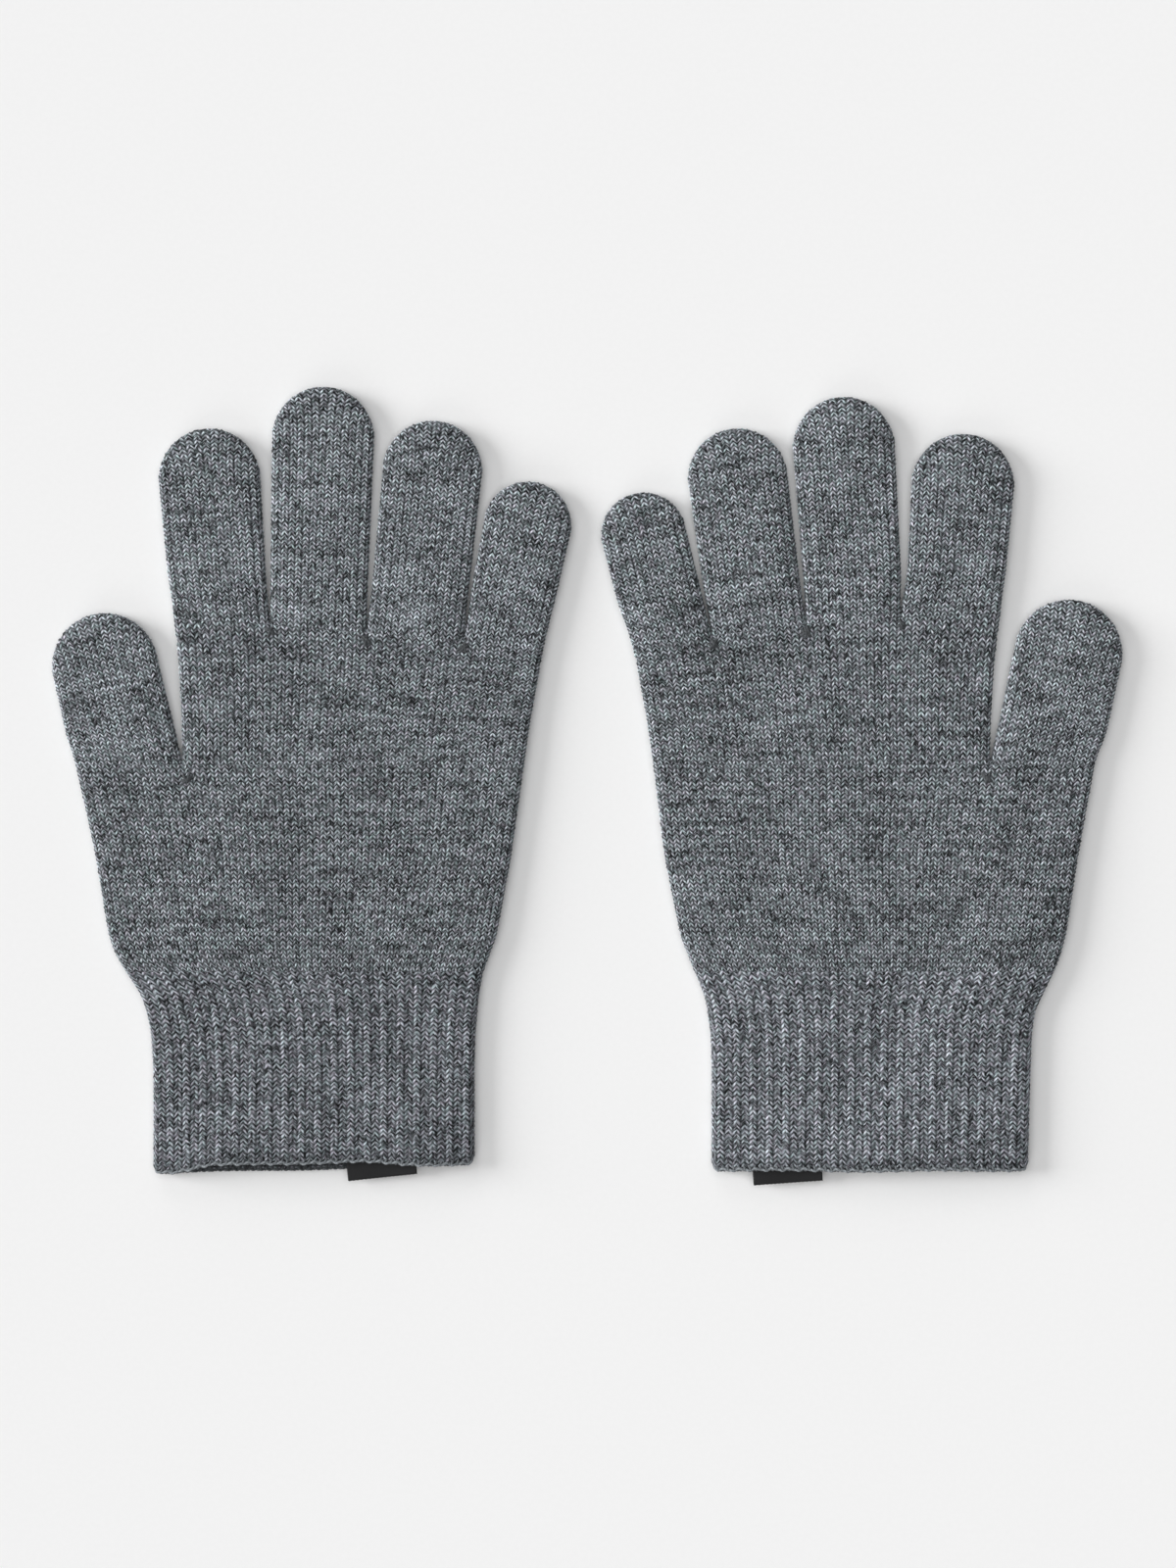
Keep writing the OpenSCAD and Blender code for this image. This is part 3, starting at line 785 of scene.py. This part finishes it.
def make_label_stitches(side):
    """Short stitches that hold the label's ends inside the hem."""
    mid_x, mid_y, _, turn = label_middle(side, "label_stitches")
    half_row, half_stitch, slant, low, high = 6.8, 1.05, 0.12, 2.85, 0.3
    t = np.linspace(-1, 1, 9)
    paths = []
    for x in np.linspace(-half_row, half_row, LABEL_STITCHES):
        px = mid_x + x * math.cos(turn) + slant * t
        py = mid_y + x * math.sin(turn) + half_stitch * t
        paths.append((np.stack([px, py, low + high * (1 - t ** 2)], -1), False, 0.7))
    return tube(f"{side}_label_stitch_thread", paths, STITCH_THREAD)


# ---------------------------------------------------------------- materials
def add(tree, kind, **settings):
    """A shader node; settings that name an input set or link it, the others set the node."""
    node = tree.nodes.new(kind)
    for key, value in settings.items():
        if not key.startswith("in_"):
            setattr(node, key, value)
    for key, value in settings.items():
        if key.startswith("in_"):
            name = key[3:]
            socket = node.inputs[int(name)] if name.isdigit() else node.inputs[name.replace("_", " ")]
            if isinstance(value, bpy.types.NodeSocket):
                tree.links.new(value, socket)
            else:
                socket.default_value = value
    return node


def math_node(tree, operation, a, b=0.0, c=0.0):
    return add(tree, "ShaderNodeMath", operation=operation, in_0=a, in_1=b, in_2=c).outputs[0]


def vector(tree, x, y, z):
    return add(tree, "ShaderNodeCombineXYZ", in_X=x, in_Y=y, in_Z=z).outputs[0]


def noise(tree, where, scale, detail=2.0, rough=0.5):
    node = add(tree, "ShaderNodeTexNoise", in_Vector=where, in_Scale=scale, in_Detail=detail,
               in_Roughness=rough)
    return node.outputs["Fac"]


def spread(tree, value, low, high, to_low, to_high):
    """A value that runs from low to high, made to run from to_low to to_high."""
    node = add(tree, "ShaderNodeMapRange", in_Value=value, in_From_Min=low, in_From_Max=high,
               in_To_Min=to_low, in_To_Max=to_high)
    return node.outputs[0]


def start_material(name, **settings):
    """A material with its node tree and its shader, on which uniform settings are set."""
    material = bpy.data.materials.new(name)
    material.use_nodes = True
    shader = material.node_tree.nodes["Principled BSDF"]
    for key, value in settings.items():
        shader.inputs[key.replace("_", " ")].default_value = value
    return material, material.node_tree, shader


def stitch_coordinates(tree):
    """The two stitch coordinates of the mesh: columns and courses, or length and turn of a yarn."""
    uv = add(tree, "ShaderNodeUVMap", uv_map="stitch").outputs[0]
    split = add(tree, "ShaderNodeSeparateXYZ", in_0=uv)
    return uv, split.outputs[0], split.outputs[1]


def colour_from(tree, shader, red, green, blue):
    colour = add(tree, "ShaderNodeCombineColor", in_Red=red, in_Green=green, in_Blue=blue)
    tree.links.new(colour.outputs[0], shader.inputs["Base Color"])


def bump_from(tree, shader, value, strength, distance):
    bump = add(tree, "ShaderNodeBump", in_Height=value, in_Strength=strength, in_Distance=distance)
    tree.links.new(bump.outputs[0], shader.inputs["Normal"])


def painted_stitch_shading(tree, part, r, legs):
    """Painted shading of a stitch: painted highlight on its two legs, painted shade in the gaps between
    them, between courses and at the wale's edges; part is the place across the wale, from 0 to 1.
    """
    def op(kind, *values):
        return math_node(tree, kind, *values)

    leg_at, leg_narrow = 0.26, 3.8
    from_middle = op("ABSOLUTE", op("SUBTRACT", part, 0.5))
    off_leg = op("ABSOLUTE", op("SUBTRACT", from_middle, leg_at))
    painted_leg_highlight = op("MAXIMUM", op("SUBTRACT", 1.0, op("MULTIPLY", off_leg, leg_narrow)), 0.0)
    # painted shade in the troughs between courses
    painted_course_shade = op("MULTIPLY_ADD", op("COSINE", op("MULTIPLY", r, 2 * math.pi)), 0.5, 0.5)
    body = op("MULTIPLY", op("MULTIPLY_ADD", painted_leg_highlight, legs, 0.72 - 0.5 * legs),
              op("MULTIPLY_ADD", painted_course_shade, 0.86, 0.12))
    # painted shade towards the wale's edges
    return op("MULTIPLY", body, spread(tree, from_middle, 0.25, 0.5, 1.08, 0.62))


def knit_material(name, seed, tone, kind):
    """Grey heather yarn in stitches: legs and specks have their own greys, the legs carry painted highlight
    and the gaps painted shade, and courses run in streaks. kind is plain or rib."""
    material, tree, shader = start_material(name, Roughness=0.92, Specular_IOR_Level=0.15,
                                            Sheen_Weight=0.1, Sheen_Roughness=0.5)
    rib = kind == "rib"
    swings = SWINGS[kind]

    def op(operation, *values):
        return math_node(tree, operation, *values)

    def swing(total, value, pattern):
        return op("MULTIPLY_ADD", op("SUBTRACT", value, 0.5), swings[pattern], total)

    def random(x, y, shift):
        return add(tree, "ShaderNodeTexWhiteNoise", noise_dimensions="3D",
                   in_Vector=vector(tree, x, y, seed + shift)).outputs["Value"]

    def at(c_scale, r_scale, shift=0.0):
        return vector(tree, op("MULTIPLY", c_mm, c_scale), op("MULTIPLY", r_mm, r_scale), seed + shift)

    _, c, r = stitch_coordinates(tree)
    c_mm = op("MULTIPLY", c, RIB_PITCH if rib else WALE)
    r_mm = op("MULTIPLY", r, COURSE)
    wale = op("MULTIPLY", c, 2.0 if rib else 1.0)
    part = op("FRACT", wale)
    body = painted_stitch_shading(tree, part, r, LEG_HIGHLIGHT_PARTS[kind])
    relief_and_painted_shade = add(tree, "ShaderNodeAttribute", attribute_name="relief_and_painted_shade").outputs["Fac"]
    # painted shade and highlight: the stitch pattern's gaps and the low parts of the relief are darkened,
    # the legs and crests lightened
    painted_cavity_shade = op("MULTIPLY", spread(tree, body, 0.0, 1.0, *(RIB_PAINTED_SHADE_HIGHLIGHT if rib else STITCH_PAINTED_SHADE_HIGHLIGHT)),
                spread(tree, relief_and_painted_shade, 0.0, 1.0, 0.75, 1.12))

    leg = op("MULTIPLY_ADD", op("FLOOR", wale), 2.0, op("FLOOR", op("MULTIPLY", part, 2.0)))
    row = op("FLOOR", op("ADD", r, 0.5))
    fine_at = vector(tree, c_mm, op("MULTIPLY", r_mm, 0.8), seed)
    fine = noise(tree, fine_at, 2.6, 3.0, 0.7)
    fibre = noise(tree, at(0.6, 1.25), 4.2, 2.0, 0.65)
    streak_at = vector(tree, op("MULTIPLY", c_mm, 0.11), op("MULTIPLY", row, 3.7), seed * 1.7)
    fleck = random(op("FLOOR", op("MULTIPLY", wale, FLECKS)), op("FLOOR", op("MULTIPLY", r, FLECKS)), 20.0)
    total = swing(1.0, random(leg, row, 0.0), "leg")
    total = swing(total, fleck, "fleck")
    total = swing(total, noise(tree, streak_at, 1.0, 1.5, 0.5), "streak")
    total = swing(total, noise(tree, at(0.03, 0.4, 4.0), 1.0), "band")
    total = swing(total, noise(tree, at(0.09, 0.09), 1.0), "patch")
    total = swing(total, fine, "fine")
    total = swing(total, fibre, "fibre")
    value = op("MULTIPLY", op("MULTIPLY", op("MAXIMUM", total, 0.08), painted_cavity_shade), tone)
    if rib:
        value = op("MULTIPLY", value, spread(tree, r, 0.5, 3.5, *LOW_COURSES))
        # painted shade: the rib's sunk wales are darkened as if in shadow between the raised ones
        raised = op("COSINE", op("MULTIPLY", op("SUBTRACT", c, 0.25), 2 * math.pi))
        value = op("MULTIPLY", value, spread(tree, raised, -0.6, 0.6, *GROOVE_PAINTED_SHADE))
    hue = noise(tree, fine_at, 1.3)
    green_hue = noise(tree, vector(tree, r_mm, c_mm, seed + 9.0), 1.1)
    colour_from(tree, shader, *(op("MULTIPLY", value, spread(tree, pattern, 0.3, 0.7, *ends))
                                for pattern, ends in ((hue, REDS), (green_hue, GREENS[kind]), (hue, BLUES))))
    grain = op("MULTIPLY_ADD", fibre, 0.6, op("MULTIPLY_ADD", body, 0.8, fine))
    bump_from(tree, shader, grain, 0.7, 0.00015)
    return material


def thread_material(name, seed, tone, tint, contrast):
    """Plied thread, twisted and flecked; the mesh's painted shade darkens its hidden parts, which lie in
    shadow.
    """
    material, tree, shader = start_material(name, Roughness=0.85, Specular_IOR_Level=0.2, Sheen_Weight=0.1)

    def op(kind, *values):
        return math_node(tree, kind, *values)

    _, along, turn = stitch_coordinates(tree)
    strand = op("SINE", op("ADD", op("MULTIPLY", along, 9.0), op("MULTIPLY", turn, 4 * math.pi)))
    grain = noise(tree, vector(tree, along, turn, seed), 3.0, 3.0, 0.65)
    slow = noise(tree, vector(tree, op("MULTIPLY", along, 0.12), 0.0, seed), 1.0)
    total = op("MULTIPLY_ADD", strand, 0.12 * contrast, 1.0)
    total = op("MULTIPLY_ADD", op("SUBTRACT", grain, 0.5), 1.6 * contrast, total)
    total = op("MULTIPLY_ADD", op("SUBTRACT", slow, 0.5), 0.9 * contrast, total)
    # painted shade from the mesh darkens the thread where it lies in shadow
    painted_shade = add(tree, "ShaderNodeAttribute", attribute_name="relief_and_painted_shade").outputs["Fac"]
    value = op("MULTIPLY", op("MAXIMUM", total, 0.2), spread(tree, painted_shade, 0.0, 1.0, 0.2 * tone, tone))
    colour_from(tree, shader, *(op("MULTIPLY", value, part) for part in tint))
    bump_from(tree, shader, op("ADD", strand, grain), 0.5, 0.00008)
    return material


def ribbon_material():
    """Black satin-woven ribbon with fine cross ribs."""
    material, tree, shader = start_material("label_ribbon_weave", Roughness=0.6, Specular_IOR_Level=0.3)
    uv, across, along = stitch_coordinates(tree)
    warp = math_node(tree, "SINE", math_node(tree, "MULTIPLY", across, 26.0))
    weft = math_node(tree, "SINE", math_node(tree, "MULTIPLY", along, 20.0))
    weave = math_node(tree, "MULTIPLY", warp, weft)
    total = math_node(tree, "MULTIPLY_ADD", weave, 0.25, noise(tree, uv, 4.0, 3.0, 0.6))
    value = spread(tree, total, 0.2, 0.9, *BLACK_RIBBON)
    colour_from(tree, shader, value, value, math_node(tree, "MULTIPLY", value, 1.12))
    bump_from(tree, shader, total, 0.6, 0.00008)
    return material


# ---------------------------------------------------------------- putting the pieces on their bodies
def attach_knit(side, name, obj):
    """Bakes a finger, thumb or cuff in place; the palms ride on the hand."""
    hand, cuff = f"{side}_hand", f"{side}_cuff"
    if name in FOUR:
        place = GLOVES[side]["fingers"][name][0]
        start, end = (place_m(side, place + t * math.sin(KNUCKLE_SLOPE),
                              knuckle(place) + t * math.cos(KNUCKLE_SLOPE)) for t in (-4.0, 6.5))
        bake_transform(obj)
    elif name == "thumb":
        place_m(side, 0, 4.8)
        place_m(side, 0, 14.5)
        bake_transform(obj)
    elif name == "cuff":
        place_m(side, 0, -42.2)
        place_m(side, 0, -54)
        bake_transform(obj)
    else:
        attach(obj, hand)


def assemble():
    knits = make_gloves()
    ribbon = ribbon_material()
    for side, glove in GLOVES.items():
        seed = float(glove["seed"])
        hand, cuff = f"{side}_hand", f"{side}_cuff"
        for i, (name, tone) in enumerate(glove["tones"].items()):
            kind = "rib" if name == "cuff" else "plain"
            yarn = knit_material(f"{side}_{name}_yarn", seed + 3.0 * i, YARN_TONE * tone, kind)
            obj = knits[side, name]
            obj.data.materials.append(yarn)
            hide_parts(f"{side}_{name}")
            attach_knit(side, name, obj)
        for make, piece, thread, slot, body in (
                (make_hem, "cuff_hem", "hem_thread", "overlock_thread", cuff),
                (make_elastic, "cuff_elastic", "elastic_thread", "elastic", cuff),
                (make_darns, "crotch_darns", "darn_yarn", "darn_yarn", hand),
                (make_label_stitches, "label_stitches", "label_thread", "label_thread", cuff)):
            obj = make(side)
            obj.data.materials.append(thread_material(f"{side}_{thread}", seed, *THREADS[thread]))
            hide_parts(f"{side}_{piece}")
            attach(obj, body)
        label = make_label(side)
        label.data.materials.append(ribbon)
        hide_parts(f"{side}_label")
        place_m(side, 18, -85.9, 2.7)
        place_m(side, 18, -86.9, 2.7)
        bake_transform(label)


# ---------------------------------------------------------------- floor, light and camera
def floor():
    """A plain pale sheet of paper under the gloves."""
    count = FLOOR_STEPS + 1
    line = np.linspace(-FLOOR_HALF, FLOOR_HALF, count)
    points = [(x, y, 0.0) for y in line for x in line]
    faces = [(j * count + i, j * count + i + 1, (j + 1) * count + i + 1, (j + 1) * count + i)
             for j in range(FLOOR_STEPS) for i in range(FLOOR_STEPS)]
    mesh = bpy.data.meshes.new("floor")
    mesh.from_pydata(points, [], faces)
    obj = bpy.data.objects.new("floor", mesh)
    bpy.context.collection.objects.link(obj)
    material, tree, shader = start_material("paper", Roughness=1.0, Specular_IOR_Level=0.0)
    where = add(tree, "ShaderNodeTexCoord").outputs["Object"]
    value = spread(tree, noise(tree, where, 900.0), 0.3, 0.7, *PAPER)
    colour_from(tree, shader, value, value, value)
    obj.data.materials.append(material)


def lights():
    """Soft studio light: one lamp overhead, one low from the left and two weak fills."""
    studio = bpy.data.worlds.new("studio")
    bpy.context.scene.world = studio
    studio.use_nodes = True
    back = studio.node_tree.nodes["Background"]
    back.inputs["Color"].default_value = (1, 1, 1, 1)
    back.inputs["Strength"].default_value = AMBIENT
    for name, (power, softness, azimuth, elevation) in LAMPS.items():
        lamp = bpy.data.lights.new(name, "SUN")
        lamp.energy = power
        lamp.angle = math.radians(softness)
        obj = bpy.data.objects.new(name, lamp)
        bpy.context.collection.objects.link(obj)
        az, el = math.radians(azimuth), math.radians(elevation)
        way = Vector((math.cos(el) * math.cos(az), math.cos(el) * math.sin(az), math.sin(el)))
        obj.location = way
        obj.rotation_mode = "QUATERNION"
        obj.rotation_quaternion = way.to_track_quat("Z", "Y")


def camera():
    """Straight above the pair, as in the photograph."""
    data = bpy.data.cameras.new("camera")
    data.lens = LENS
    data.sensor_width = SENSOR
    obj = bpy.data.objects.new("camera", data)
    bpy.context.collection.objects.link(obj)
    obj.location = (*CAMERA_PLACE, FRAME_HEIGHT * LENS / SENSOR + FRAME_LEVEL)
    bpy.context.scene.camera = obj


bpy.context.scene.view_settings.view_transform = "Standard"
floor()
lights()
camera()
assemble()
